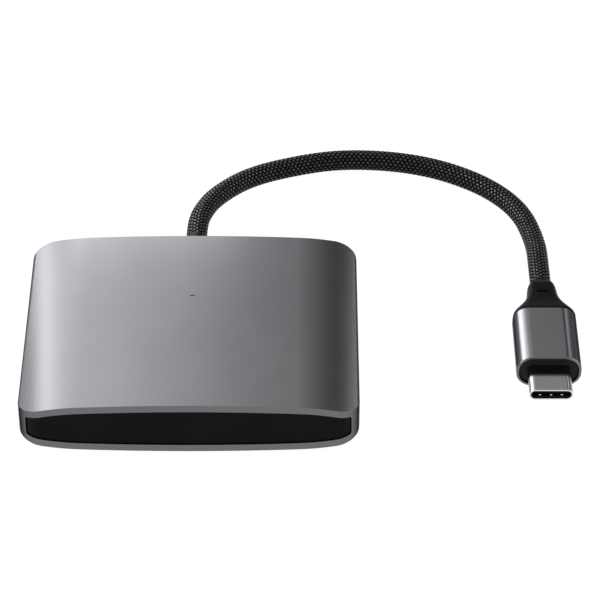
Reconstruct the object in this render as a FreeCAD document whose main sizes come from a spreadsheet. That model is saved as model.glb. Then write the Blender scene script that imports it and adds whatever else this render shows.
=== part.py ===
import FreeCAD, Part
import math
import os
import types

import Sketcher

# A small USB hub: an extruded aluminium sleeve of lens-like section, closed by two black end panels,
# with a braided cable that leaves the rear panel and ends in a USB-C plug lying beside it.
# Millimetres. X runs to the right, Y to the rear, Z up. The origin is on the surface that the hub
# stands on, under the middle of the hub.

Vec = FreeCAD.Vector
doc = FreeCAD.newDocument("usb_hub")

# ---------------------------------------------------------------- driving dimensions

SIZES = [
    # the sleeve
    ("hub_width", 63.5),
    ("hub_depth", 50.8),
    ("hub_height", 11.2),
    ("foot_proud", 0.4),            # how far the feet hold the sleeve off the surface
    ("edge_radius", 0.75),          # the rounding between flank and side wall
    ("bore_edge_radius", 0.6),
    ("corner_radius", 4.36),        # of the sleeve's four corners, seen from above
    ("wall", 1.54),
    ("light_hole_radius", 0.19),
    ("light_hole_pitch", 0.52),
    ("light_behind_middle", 6.8),
    ("light_width", 1.8),
    ("light_depth", 0.9),
    ("light_height", 0.6),
    ("pipe_radius", 1.2),
    # the end panels
    ("panel_gap", 0.05),
    ("panel_recess", 0.25),
    ("panel_thickness", 1.9),
    # the main board and its grooves
    ("board_thickness", 1.0),
    ("board_gap", 0.1),
    ("groove_depth", 1.2),
    ("rail_height", 0.75),
    # the sockets
    ("port_pitch", 12.85),
    ("port_inner_offset", 11.3),    # the sockets nearest the cable, from the middle
    ("port_width", 8.94),
    ("port_height", 3.2),
    ("port_depth", 7.35),
    ("port_wall", 0.3),
    ("port_window_gap", 0.1),
    ("tongue_width", 6.69),
    ("tongue_thickness", 0.7),
    ("tongue_length", 4.5),
    ("tongue_block", 1.6),
    # the feet
    ("foot_radius", 3.2),
    ("foot_height", 1.15),
    ("foot_chamfer", 0.2),
    ("foot_gap", 0.05),
    ("foot_across", 19.0),
    ("foot_along", 16.0),
    # the cable and its gland
    ("cord_diameter", 4.1),
    ("gland_root_radius", 2.75),
    ("gland_tip_radius", 2.15),
    ("gland_reach", 5.9),           # behind the sleeve's rear face
    ("gland_flange_radius", 3.6),
    ("gland_flange", 1.1),
    ("ferrule_radius", 2.3),
    ("ferrule_length", 2.4),
    ("lead_radius", 0.25),
    ("lead_pitch", 0.7),
    ("lead_length", 3.6),
    # the plug
    ("plug_across", 68.1),          # the plug's axis, from the middle of the hub
    ("plug_front", -6.4),           # the front rim of the plug's sleeve
    ("sleeve_length", 15.05),
    ("sleeve_width", 12.4),
    ("sleeve_height", 7.1),
    ("sleeve_radius", 3.15),
    ("sleeve_wall", 0.5),
    ("face_recess", 0.45),
    ("face_thickness", 2.0),
    ("shell_width", 8.25),
    ("shell_height", 2.4),
    ("shell_length", 7.1),          # out of the plug's black face
    ("shell_wall", 0.28),
    ("mouth_width", 6.8),
    ("mouth_height", 0.76),
    ("mouth_depth", 6.2),
    ("lining_recess", 0.15),
    ("latch_thickness", 0.12),
    ("latch_height", 0.5),
    ("latch_recess", 0.8),
    ("spring_width", 0.6),
    ("spring_length", 0.5),
    ("spring_thickness", 0.08),
    ("spring_recess", 0.3),
    ("spring_pitch", 2.1),
    ("boot_length", 11.0),
    ("boot_spigot", 2.2),
    ("boot_collar_width", 5.6),
    ("boot_collar_height", 5.1),
    ("boot_waist_width", 6.1),
    ("boot_waist_height", 5.4),
    ("boot_lip", 0.15),             # the boot's neck outside the cable
    ("boot_neck", 0.7),             # stations along the boot, from the cable's end
    ("boot_collar_along", 1.9),
    ("boot_waist_along", 3.9),
    ("boot_flare_along", 6.6),
    ("plug_board_width", 9.2),
    ("plug_board_length", 7.6),
    ("plug_board_thickness", 0.8),
    ("can_gap", 0.35),
    ("can_wall", 0.25),
    ("can_radius", 0.8),
]

CROWN_RADIUS_SHARE = 7.3543    # radius of the broad top and bottom, over the hub's width
CROWN_HALF_SHARE = 0.3197      # half of the crown's width, over the hub's width
SHOULDER_SHARE = 0.7512        # radius of the steeper flanks beside the crown, over the hub's width
EASE = 0.05        # the gap round pieces that are slid into each other
PAST = 1.0         # how far a cutting tool runs past what it cuts
FULL_ROUND = 0.05  # what a corner radius stays under half of its bar's height
CONTACTS = 12      # in each row of a USB-C socket or plug
CONTACT_PITCH = 0.5
CONTACT_WIDTH = 0.25
CONTACT_THICKNESS = 0.04
BLADE_START = 0.1      # from the root of a tongue or mouth to its contact blades
BLADE_END = 0.8        # from the blades to the tongue's or the plug's front edge
TONGUE_ROOT = 0.5      # how deep a tongue is set in its block


class Size:
    """A length together with the expression that gives it from the sheet's cells."""

    def __init__(self, text, value):
        self.text = text
        self.value = value

    def __float__(self):
        return self.value

    def __neg__(self):
        return 0 - self

    def __add__(self, other):
        return joined(self, "+", other, self.value + float(other))

    def __radd__(self, other):
        return joined(other, "+", self, float(other) + self.value)

    def __sub__(self, other):
        return joined(self, "-", other, self.value - float(other))

    def __rsub__(self, other):
        return joined(other, "-", self, float(other) - self.value)

    def __mul__(self, other):
        return joined(self, "*", other, self.value * float(other))

    __rmul__ = __mul__

    def __truediv__(self, other):
        return joined(self, "/", other, self.value / float(other))


def words(item):
    return item.text if isinstance(item, Size) else repr(float(item))


def joined(first, sign, second, value):
    return Size("(%s %s %s)" % (words(first), sign, words(second)), value)


def fill_sheet():
    sheet = doc.addObject("Spreadsheet::Sheet", "dim")
    for row, (alias, value) in enumerate(SIZES, start=1):
        sheet.set("A%d" % row, alias)
        sheet.set("B%d" % row, str(value))
        sheet.setAlias("B%d" % row, alias)
    doc.recompute()
    return types.SimpleNamespace(**{alias: Size("dim." + alias, value) for alias, value in SIZES})


dim = fill_sheet()
nodes = []


# ---------------------------------------------------------------- ways of making a piece

def bind(item, name, size):
    """Set a property to a number, or bind it to the sheet."""
    if isinstance(size, Size):
        item.setExpression(name, size.text)
    else:
        item.setExpression(name, None)
        owner = item
        path = name.split(".")
        for step in path[:-1]:
            owner = getattr(owner, step)
        setattr(owner, path[-1], float(size))


def place(item, spot, turn=None):
    """Put an object at a spot, whose three coordinates may each be bound to the sheet."""
    item.Placement = FreeCAD.Placement(Vec(*[float(part) for part in spot]), turn or FreeCAD.Rotation())
    for letter, part in zip("xyz", spot):
        if isinstance(part, Size):
            item.setExpression("Placement.Base." + letter, part.text)


def node(item, label):
    """Name a finished sub-part: its label is its node and its file."""
    item.Label = label
    nodes.append(item)
    return item


def block(name, low, high):
    item = doc.addObject("Part::Box", name)
    for side, start, end in zip(("Length", "Width", "Height"), low, high):
        bind(item, side, end - start)
    place(item, low)
    return item


def rod(name, spot, radius, length, axis=Vec(0, 0, 1)):
    item = doc.addObject("Part::Cylinder", name)
    bind(item, "Radius", radius)
    bind(item, "Height", length)
    place(item, spot, FreeCAD.Rotation(Vec(0, 0, 1), axis))
    return item


def cut(name, base, tools):
    tool = tools[0]
    if len(tools) > 1:
        tool = doc.addObject("Part::MultiFuse", name + "_tool")
        tool.Shapes = tools
    item = doc.addObject("Part::Cut", name)
    item.Base = base
    item.Tool = tool
    return item


def fuse(name, pieces):
    item = doc.addObject("Part::MultiFuse", name)
    item.Shapes = pieces
    return item


def common(name, pieces):
    item = doc.addObject("Part::MultiCommon", name)
    item.Shapes = pieces
    return item


def group(name, pieces):
    item = doc.addObject("Part::Compound", name)
    item.Links = pieces
    return item


def extrusion(name, outline, axis, forward, backward=0.0):
    item = doc.addObject("Part::Extrusion", name)
    item.Base = outline
    item.DirMode = "Custom"
    item.Dir = axis
    item.Solid = True
    bind(item, "LengthFwd", forward)
    bind(item, "LengthRev", backward)
    return item


FACING_REAR = FreeCAD.Rotation(Vec(1, 0, 0), 90)      # sketch x is X, sketch y is Z


def datum(sketch, kind, refs, size, name):
    """Add a dimension to a sketch and bind it to the sheet."""
    index = sketch.addConstraint(Sketcher.Constraint(kind, *refs, float(size)))
    if isinstance(size, Size):
        sketch.renameConstraint(index, name)
        sketch.setExpression("Constraints." + name, size.text)


def arc(centre, radius, start, end):
    circle = Part.Circle(Vec(centre[0], centre[1], 0), Vec(0, 0, 1), radius)
    return Part.ArcOfCircle(circle, math.radians(start), math.radians(end))


def line(first, second):
    return Part.LineSegment(Vec(first[0], first[1], 0), Vec(second[0], second[1], 0))


def close_smoothly(sketch, count):
    for index in range(count):
        sketch.addConstraint(Sketcher.Constraint("Tangent", index, 2, (index + 1) % count, 1))


def lens_outline(name, half_width, half_height, crown, crown_half, shoulder, edge):
    """The sleeve's section: crown, shoulders and small edge arcs above and below, upright sides."""
    a, h, big, mid, small = [float(part) for part in (half_width, half_height, crown, shoulder, edge)]
    tilt = math.asin(float(crown_half) / big)
    shoulder_x = (big - mid) * math.sin(tilt)
    shoulder_y = h - big + (big - mid) * math.cos(tilt)
    lean = math.asin((a - small - shoulder_x) / (mid - small))
    edge_x = a - small
    edge_y = shoulder_y + (mid - small) * math.cos(lean)
    t, k = math.degrees(tilt), math.degrees(lean)
    sketch = doc.addObject("Sketcher::SketchObject", name)
    sketch.addGeometry([
        arc((0, h - big), big, 90 - t, 90 + t),
        arc((-shoulder_x, shoulder_y), mid, 90 + t, 90 + k),
        arc((-edge_x, edge_y), small, 90 + k, 180),
        line((-a, edge_y), (-a, -edge_y)),
        arc((-edge_x, -edge_y), small, 180, 270 - k),
        arc((-shoulder_x, -shoulder_y), mid, 270 - k, 270 - t),
        arc((0, big - h), big, 270 - t, 270 + t),
        arc((shoulder_x, -shoulder_y), mid, 270 + t, 270 + k),
        arc((edge_x, -edge_y), small, 270 + k, 360),
        line((a, -edge_y), (a, edge_y)),
        arc((edge_x, edge_y), small, 0, 90 - k),
        arc((shoulder_x, shoulder_y), mid, 90 - k, 90 - t),
    ], False)
    close_smoothly(sketch, 12)
    for other in (5, 7, 11):
        sketch.addConstraint(Sketcher.Constraint("Equal", 1, other))
    for other in (4, 8, 10):
        sketch.addConstraint(Sketcher.Constraint("Equal", 2, other))
    sketch.addConstraint([
        Sketcher.Constraint("Equal", 0, 6),
        Sketcher.Constraint("PointOnObject", 0, 3, -2),
        Sketcher.Constraint("Horizontal", 0, 1, 0, 2),
        Sketcher.Constraint("Symmetric", 0, 3, 6, 3, -1, 1),
        Sketcher.Constraint("Horizontal", 6, 1, 6, 2),
        Sketcher.Constraint("Vertical", 3),
        Sketcher.Constraint("Vertical", 9),
    ])
    datum(sketch, "Radius", (0,), crown, "crown")
    datum(sketch, "Radius", (1,), shoulder, "shoulder")
    datum(sketch, "Radius", (2,), edge, "edge")
    datum(sketch, "DistanceY", (0, 3, -1, 1), crown - half_height, "drop")
    datum(sketch, "DistanceX", (0, 2, 0, 1), crown_half * 2, "crown_width")
    datum(sketch, "DistanceX", (6, 1, 6, 2), crown_half * 2, "keel_width")
    datum(sketch, "DistanceX", (3, 1, -1, 1), half_width, "left_side")
    datum(sketch, "DistanceX", (-1, 1, 9, 1), half_width, "right_side")
    return sketch


def rounded_outline(name, width, height, radius):
    """A rectangle with round corners, centred on the sketch's origin."""
    x, y, r = float(width) / 2, float(height) / 2, float(radius)
    sketch = doc.addObject("Sketcher::SketchObject", name)
    sketch.addGeometry([
        line((x - r, y), (r - x, y)),
        arc((r - x, y - r), r, 90, 180),
        line((-x, y - r), (-x, r - y)),
        arc((r - x, r - y), r, 180, 270),
        line((r - x, -y), (x - r, -y)),
        arc((x - r, r - y), r, 270, 360),
        line((x, r - y), (x, y - r)),
        arc((x - r, y - r), r, 0, 90),
    ], False)
    close_smoothly(sketch, 8)
    sketch.addConstraint([
        Sketcher.Constraint("Horizontal", 0),
        Sketcher.Constraint("Vertical", 2),
        Sketcher.Constraint("Equal", 1, 3),
        Sketcher.Constraint("Equal", 1, 5),
        Sketcher.Constraint("Equal", 1, 7),
        Sketcher.Constraint("Symmetric", 1, 3, 5, 3, -1, 1),
    ])
    datum(sketch, "Radius", (1,), radius, "corner")
    datum(sketch, "DistanceX", (1, 3, 5, 3), width - radius * 2, "between_corners")
    datum(sketch, "DistanceY", (3, 3, 1, 3), height - radius * 2, "corner_rise")
    return sketch


def bar(name, across, level, start, length, width, height, radius):
    """A bar along Y with a rounded rectangular section."""
    outline = rounded_outline(name + "_outline", width, height, radius)
    place(outline, (across, start, level), FACING_REAR)
    return extrusion(name, outline, Vec(0, 1, 0), length)


def turned(name, spot, profile, plane):
    """A body turned about its own upright sketch axis from corners (radius, station)."""
    body = doc.addObject("PartDesign::Body", name)
    sketch = body.newObject("Sketcher::SketchObject", name + "_profile")
    origin_plane = [item for item in body.Origin.OriginFeatures if item.Role == plane][0]
    sketch.AttachmentSupport = [(origin_plane, "")]
    sketch.MapMode = "FlatFace"
    count = len(profile)
    corners = [(float(radius), float(station)) for radius, station in profile]
    sketch.addGeometry([line(corners[i], corners[(i + 1) % count]) for i in range(count)], False)
    for index, (radius, station) in enumerate(profile):
        sketch.addConstraint(Sketcher.Constraint("Coincident", index, 2, (index + 1) % count, 1))
        if float(radius) == 0:
            sketch.addConstraint(Sketcher.Constraint("PointOnObject", index, 1, -2))
        else:
            datum(sketch, "DistanceX", (-1, 1, index, 1), radius, "radius_%d" % index)
        if float(station) == 0:
            sketch.addConstraint(Sketcher.Constraint("PointOnObject", index, 1, -1))
        else:
            datum(sketch, "DistanceY", (-1, 1, index, 1), station, "station_%d" % index)
    turn = body.newObject("PartDesign::Revolution", name + "_turn")
    turn.Profile = sketch
    turn.ReferenceAxis = (sketch, ["V_Axis"])
    turn.Angle = 360
    body.Tip = turn
    place(body, spot)
    return body


# ---------------------------------------------------------------- shared places

mid_height = dim.foot_proud + dim.hub_height / 2
crown_radius = dim.hub_width * CROWN_RADIUS_SHARE
crown_half = dim.hub_width * CROWN_HALF_SHARE
shoulder_radius = dim.hub_width * SHOULDER_SHARE
front = -dim.hub_depth / 2
rear = dim.hub_depth / 2
bore_half_width = dim.hub_width / 2 - dim.wall
bore_half_height = dim.hub_height / 2 - dim.wall
ceiling = mid_height + bore_half_height
board_low = mid_height - dim.board_thickness
board_top = mid_height
panel_inner = dim.hub_depth / 2 - dim.panel_recess - dim.panel_thickness
port_front = rear - dim.panel_recess - EASE
port_back = port_front - dim.port_depth
port_places = [-dim.port_inner_offset - dim.port_pitch, -dim.port_inner_offset,
               dim.port_inner_offset, dim.port_inner_offset + dim.port_pitch]
plug_height = dim.sleeve_height / 2
plug_face_front = dim.plug_front + dim.face_recess
shell_tip = plug_face_front - dim.shell_length
sleeve_rear = dim.plug_front + dim.sleeve_length
boot_tip = sleeve_rear + dim.boot_length


# ---------------------------------------------------------------- casing

def lens_bar(name, gap, forward, backward):
    """A bar along Y that fills the sleeve's bore, less a gap all round."""
    inset = dim.wall + gap
    outline = lens_outline(name + "_outline", dim.hub_width / 2 - inset, dim.hub_height / 2 - inset,
                           crown_radius - inset, crown_half, shoulder_radius - inset,
                           dim.bore_edge_radius)
    place(outline, (0, 0, mid_height), FACING_REAR)
    return extrusion(name, outline, Vec(0, 1, 0), forward, backward)


def plan_prism(name, inset):
    """An upright prism with the sleeve's outline from above, less an inset all round."""
    outline = rounded_outline(name + "_outline", dim.hub_width - inset * 2, dim.hub_depth - inset * 2,
                              dim.corner_radius - inset)
    place(outline, (0, 0, 0))
    return extrusion(name, outline, Vec(0, 0, 1), dim.hub_height * 2)


def tube_housing():
    outline = lens_outline("sleeve_outline", dim.hub_width / 2, dim.hub_height / 2, crown_radius,
                           crown_half, shoulder_radius, dim.edge_radius)
    place(outline, (0, 0, mid_height), FACING_REAR)
    long_bar = extrusion("sleeve_bar", outline, Vec(0, 1, 0), dim.hub_depth / 2, dim.hub_depth / 2)
    solid = common("sleeve_solid", [long_bar, plan_prism("sleeve_plan", 0.0)])
    bore = lens_bar("sleeve_bore", 0.0, dim.hub_depth, dim.hub_depth)
    pockets = [rod("foot_pocket", (x, y, 0), dim.foot_radius + dim.foot_gap, dim.foot_height)
               for x in (-dim.foot_across, dim.foot_across) for y in (-dim.foot_along, dim.foot_along)]
    lights = [rod("light_hole", (side * dim.light_hole_pitch / 2, dim.light_behind_middle, mid_height),
                  dim.light_hole_radius, dim.hub_height) for side in (-1, 1)]
    sleeve = cut("sleeve", solid, [bore] + pockets + lights)
    rails = []
    for side in (-1, 1):
        inner = side * (bore_half_width - dim.groove_depth)
        outer = side * (bore_half_width + dim.wall / 3)
        low_x, high_x = (inner, outer) if side > 0 else (outer, inner)
        for low_z in (board_low - dim.board_gap / 2 - dim.rail_height, board_top + dim.board_gap / 2):
            rails.append(block("rail", (low_x, -panel_inner, low_z),
                               (high_x, panel_inner, low_z + dim.rail_height)))
    return node(fuse("housing", [sleeve] + rails), "tube_housing")


def panel(name, sign):
    """An end panel: sign is -1 at the front and 1 at the rear."""
    fill = lens_bar(name + "_fill", dim.panel_gap, dim.hub_depth, dim.hub_depth)
    plan = plan_prism(name + "_plan", dim.panel_recess)
    low_y, high_y = (panel_inner, rear) if sign > 0 else (front, -panel_inner)
    slab = block(name + "_slab", (-dim.hub_width / 2, low_y, dim.foot_proud),
                 (dim.hub_width / 2, high_y, dim.foot_proud + dim.hub_height))
    return common(name, [fill, plan, slab])


def front_panel():
    return node(panel("front_plate", -1), "front_panel")


def rear_panel():
    grow = dim.port_window_gap * 2
    windows = [bar("window", across, mid_height, panel_inner - PAST, dim.panel_thickness + 3 * PAST,
                   dim.port_width + grow, dim.port_height + grow, dim.port_height / 2)
               for across in port_places]
    hole = rod("gland_hole", (0, panel_inner - PAST, mid_height), dim.gland_root_radius + EASE,
               dim.panel_thickness + 3 * PAST, Vec(0, 1, 0))
    return node(cut("rear_plate", panel("rear_blank", 1), windows + [hole]), "rear_panel")


def feet():
    names = {(-1, -1): "foot_front_left", (1, -1): "foot_front_right",
             (-1, 1): "foot_rear_left", (1, 1): "foot_rear_right"}
    for (side, end), label in names.items():
        profile = [(0, 0), (dim.foot_radius - dim.foot_chamfer, 0), (dim.foot_radius, dim.foot_chamfer),
                   (dim.foot_radius, dim.foot_height), (0, dim.foot_height)]
        spot = (side * dim.foot_across, end * dim.foot_along, 0)
        node(turned(label + "_body", spot, profile, "XZ_Plane"), label)


# ---------------------------------------------------------------- electronics

def main_board():
    half_width = bore_half_width - dim.board_gap
    end = panel_inner - dim.board_gap
    plate = block("board_plate", (-half_width, -end, board_low), (half_width, end, board_top))
    notches = []
    for across in port_places:
        half = dim.port_width / 2 + dim.port_window_gap
        notches.append(block("port_notch", (across - half, port_back - dim.port_window_gap, board_low - PAST),
                             (across + half, rear, board_top + PAST)))
    half = dim.gland_flange_radius + dim.port_window_gap
    notches.append(block("cable_notch", (-half, port_back - dim.port_window_gap, board_low - PAST),
                         (half, rear, board_top + PAST)))
    return node(cut("board", plate, notches), "main_board")


def chip(label, across, along, width, depth, height):
    """A flat component on the board, its place given by its middle."""
    low = (across - width / 2, along - depth / 2, board_top)
    high = (across + width / 2, along + depth / 2, board_top + height)
    return node(block(label + "_block", low, high), label)


def small_parts(label, places, width, depth, height):
    pieces = [block(label + "_piece", (x - width / 2, y - depth / 2, board_top),
                    (x + width / 2, y + depth / 2, board_top + height)) for x, y in places]
    return node(group(label + "_group", pieces), label)


def components():
    chip("hub_controller", -6.0, -3.0, 8.0, 8.0, 0.9)
    chip("power_controller", 12.0, -2.0, 5.0, 5.0, 0.8)
    chip("flash_memory", -16.5, 2.0, 5.0, 4.0, 0.8)
    chip("crystal", -15.0, -6.0, 3.2, 2.5, 0.8)
    chip("inductor", 19.0, -9.0, 4.2, 4.2, 2.0)
    chip("status_light", 0.0, dim.light_behind_middle, dim.light_width, dim.light_depth, dim.light_height)
    small_parts("capacitors", [(x, y) for x in (-12.0, -9.0, -3.0, 0.0, 3.0) for y in (-12.0, -9.4)]
                + [(24.0, -4.0), (24.0, -1.0), (-22.0, -2.0), (-22.0, 1.0)], 1.6, 0.8, 0.8)
    small_parts("resistors", [(x, 3.6) for x in (-11.0, -9.4, -7.8, -3.0, 6.0, 7.6)], 0.5, 1.0, 0.35)
    small_parts("surge_arrays", [(across, port_back - 3.0) for across in port_places], 2.5, 1.0, 0.5)


def light_pipe():
    low = board_top + dim.light_height + EASE
    pipe = rod("pipe", (0, dim.light_behind_middle, low), dim.pipe_radius, ceiling - EASE - low)
    return node(pipe, "light_pipe")


def contact_rows(label, across, level, low_y, high_y, gap, sign):
    """Two rows of thin blades on the upper and lower faces of a tongue, or inside a mouth."""
    blades = []
    for row in (-1, 1):
        face = level + row * gap
        low_z = min(face, face + row * sign * CONTACT_THICKNESS)
        for index in range(CONTACTS):
            x = across + (index - (CONTACTS - 1) / 2) * CONTACT_PITCH
            corner = Vec(x - CONTACT_WIDTH / 2, low_y, low_z)
            blades.append(Part.makeBox(CONTACT_WIDTH, high_y - low_y, CONTACT_THICKNESS, corner))
    item = doc.addObject("Part::Feature", label + "_blades")
    item.Shape = Part.makeCompound(blades)
    item.Placement = FreeCAD.Placement()
    return node(item, label)


def sockets():
    for number, across in enumerate(port_places, start=1):
        round_corner = dim.port_height / 2 - FULL_ROUND
        hollow_height = dim.port_height - dim.port_wall * 2
        hollow_width = dim.port_width - dim.port_wall * 2
        name = "port_%d" % number
        outer = bar(name + "_outer", across, mid_height, port_back, dim.port_depth,
                    dim.port_width, dim.port_height, round_corner)
        hollow = bar(name + "_hollow", across, mid_height, port_back + dim.port_wall, dim.port_depth,
                     hollow_width, hollow_height, round_corner - dim.port_wall)
        node(cut(name + "_case", outer, [hollow]), "port_shell_%d" % number)
        base = bar(name + "_base", across, mid_height, port_back + dim.port_wall, dim.tongue_block,
                   hollow_width - 2 * EASE, hollow_height - 2 * EASE, round_corner - dim.port_wall - EASE)
        root = port_back + dim.port_wall + dim.tongue_block
        half_width, half_height = dim.tongue_width / 2, dim.tongue_thickness / 2
        tongue = block(name + "_tongue", (across - half_width, root - TONGUE_ROOT, mid_height - half_height),
                       (across + half_width, root + dim.tongue_length, mid_height + half_height))
        node(fuse(name + "_insulator", [base, tongue]), "port_tongue_%d" % number)
        contact_rows("port_contacts_%d" % number, float(across), float(mid_height), float(root) + BLADE_START,
                     float(root + dim.tongue_length) - BLADE_END, float(half_height), 1)


# ---------------------------------------------------------------- cable

# The cable's route from the gland to the plug: corners of a path that bends smoothly at each one.
CORD_ROUTE = [
    (0.0, 31.3, 6.0),
    (0.0, 35.9, 6.0),
    (0.9, 40.5, 5.8),
    (3.4, 46.9, 5.0),
    (10.4, 55.5, 3.7),
    (22.0, 61.6, 2.4),
    (30.5, 63.5, 2.1),
    (41.2, 62.7, 2.1),
    (50.7, 59.6, 2.1),
    (59.6, 53.7, 2.1),
    (65.7, 45.7, 2.1),
    (68.1, 35.4, 2.2),
    (68.1, 26.6, 3.55),
    (68.1, 19.65, 3.55),
]
BEND_SHARE = 0.45      # of the shorter run, taken up by each bend
LEADS = 6


def cable():
    corners = [Vec(*corner) for corner in CORD_ROUTE]
    at = corners[0]
    pieces = []
    radii = []
    for before, corner, after in zip(corners, corners[1:], corners[2:]):
        incoming, outgoing = corner - before, after - corner
        reach = BEND_SHARE * min(incoming.Length, outgoing.Length)
        heading_in, heading_out = Vec(incoming).normalize(), Vec(outgoing).normalize()
        turn = heading_in.getAngle(heading_out)
        radii.append(reach / math.tan(turn / 2))
        start, end = corner - heading_in * reach, corner + heading_out * reach
        inward = (heading_out - heading_in).normalize()
        crest = corner + inward * (radii[-1] / math.cos(turn / 2) - radii[-1])
        pieces.append(Part.LineSegment(at, start).toShape())
        pieces.append(Part.Arc(start, crest, end).toShape())
        at = end
    pieces.append(Part.LineSegment(at, corners[-1]).toShape())
    path = Part.Wire(pieces)
    radius = float(dim.cord_diameter) / 2
    ring = Part.Wire(Part.makeCircle(radius, corners[0], corners[1] - corners[0]))
    tube = path.makePipeShell([ring], True, True)
    ideal = math.pi * radius ** 2 * path.Length
    print("cable length %.1f, volume %.1f of %.1f, bend radii %s"
          % (path.Length, tube.Volume, ideal, " ".join("%.1f" % size for size in radii)))
    item = doc.addObject("Part::Feature", "cable_tube")
    item.Shape = tube
    item.Placement = FreeCAD.Placement()
    return node(item, "cable")


def cable_end():
    """The gland in the rear panel, the crimped ferrule behind it and the leads to the board."""
    inside = panel_inner - dim.gland_flange
    outside = rear - dim.panel_recess
    profile = [(0, inside), (dim.gland_flange_radius, inside), (dim.gland_flange_radius, panel_inner),
               (dim.gland_root_radius, panel_inner), (dim.gland_root_radius, outside),
               (dim.gland_tip_radius, rear + dim.gland_reach), (0, rear + dim.gland_reach)]
    node(turned("gland_body", (0, 0, mid_height), profile, "XY_Plane"), "cable_gland")
    ferrule_end = inside - dim.ferrule_length
    node(rod("ferrule", (0, ferrule_end, mid_height), dim.ferrule_radius, dim.ferrule_length,
             Vec(0, 1, 0)), "cable_ferrule")
    leads = [rod("lead", ((index - (LEADS - 1) / 2) * dim.lead_pitch, ferrule_end - dim.lead_length,
                          board_top + dim.lead_radius), dim.lead_radius, dim.lead_length, Vec(0, 1, 0))
             for index in range(LEADS)]
    node(group("leads", leads), "cable_leads")


# ---------------------------------------------------------------- plug

FLARE = 0.3            # how far the boot has opened towards the sleeve's size at its flare
BOOT_ROUND = 0.45      # of a boot section's height


def plug_bar(name, start, length, width, height, radius):
    return bar(name, dim.plug_across, plug_height, start, length, width, height, radius)


def plug_casing():
    hollow_width = dim.sleeve_width - dim.sleeve_wall * 2
    hollow_height = dim.sleeve_height - dim.sleeve_wall * 2
    hollow_radius = dim.sleeve_radius - dim.sleeve_wall
    outer = plug_bar("plug_outer", dim.plug_front, dim.sleeve_length, dim.sleeve_width,
                     dim.sleeve_height, dim.sleeve_radius)
    hollow = plug_bar("plug_hollow", dim.plug_front - PAST, dim.sleeve_length + 2 * PAST,
                      hollow_width, hollow_height, hollow_radius)
    node(cut("plug_tube", outer, [hollow]), "plug_sleeve")
    fill = plug_bar("plug_fill", plug_face_front, dim.face_thickness, hollow_width - 2 * EASE,
                    hollow_height - 2 * EASE, hollow_radius - EASE)
    shell_round = dim.shell_height / 2 - FULL_ROUND
    window = plug_bar("plug_window", plug_face_front - PAST, dim.face_thickness + 2 * PAST,
                      dim.shell_width + 2 * EASE, dim.shell_height + 2 * EASE, shell_round + EASE)
    node(cut("plug_face_plate", fill, [window]), "plug_face")
    shell_rear = plug_face_front + dim.face_thickness
    outer = plug_bar("shell_outer", shell_tip, shell_rear - shell_tip, dim.shell_width,
                     dim.shell_height, shell_round)
    inner_width = dim.shell_width - dim.shell_wall * 2
    inner_height = dim.shell_height - dim.shell_wall * 2
    hollow = plug_bar("shell_hollow", shell_tip - PAST, shell_rear - shell_tip + 2 * PAST, inner_width,
                      inner_height, shell_round - dim.shell_wall)
    node(cut("shell_tube", outer, [hollow]), "plug_shell")
    lining_front = shell_tip + dim.lining_recess
    lining = plug_bar("lining", lining_front, shell_rear - lining_front,
                      inner_width - 2 * EASE, inner_height - 2 * EASE, shell_round - dim.shell_wall - EASE)
    half_width, half_height = dim.mouth_width / 2, dim.mouth_height / 2
    mouth = block("mouth", (dim.plug_across - half_width, shell_tip - PAST, plug_height - half_height),
                  (dim.plug_across + half_width, shell_tip + dim.mouth_depth, plug_height + half_height))
    node(cut("lining_slotted", lining, [mouth]), "plug_insulator")
    contact_rows("plug_contacts", float(dim.plug_across), float(plug_height), float(shell_tip) + BLADE_END,
                 float(shell_tip + dim.mouth_depth) - BLADE_START, float(half_height), -1)
    latches = []
    for side in (-1, 1):
        inner = dim.plug_across + side * (half_width - dim.latch_thickness)
        outer = dim.plug_across + side * half_width
        low_x, high_x = (inner, outer) if side > 0 else (outer, inner)
        half_latch = dim.latch_height / 2
        latches.append(block("latch", (low_x, shell_tip + dim.latch_recess, plug_height - half_latch),
                             (high_x, shell_tip + dim.mouth_depth, plug_height + half_latch)))
    node(group("latches", latches), "plug_latches")
    springs = []
    for index in (-1, 0, 1):
        for low_z in (plug_height - half_height, plug_height + half_height - dim.spring_thickness):
            x = dim.plug_across + index * dim.spring_pitch
            low_y = shell_tip + dim.spring_recess
            springs.append(block("spring", (x - dim.spring_width / 2, low_y, low_z),
                                 (x + dim.spring_width / 2, low_y + dim.spring_length,
                                  low_z + dim.spring_thickness)))
    node(group("springs", springs), "plug_springs")


def plug_inside():
    start = plug_face_front + dim.face_thickness + EASE
    end = start + dim.plug_board_length
    half = dim.plug_board_width / 2
    half_thickness = dim.plug_board_thickness / 2
    node(block("small_board", (dim.plug_across - half, start, plug_height - half_thickness),
               (dim.plug_across + half, end, plug_height + half_thickness)), "plug_board")
    can_width = dim.plug_board_width + dim.can_gap * 2
    can_height = dim.sleeve_height - dim.sleeve_wall * 2 - dim.can_gap * 2
    outer = plug_bar("can_outer", start, dim.plug_board_length, can_width, can_height, dim.can_radius)
    inner = plug_bar("can_inner", start - PAST, dim.plug_board_length + 2 * PAST,
                     can_width - dim.can_wall * 2, can_height - dim.can_wall * 2,
                     dim.can_radius - dim.can_wall)
    node(cut("can", outer, [inner]), "plug_shield")


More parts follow.
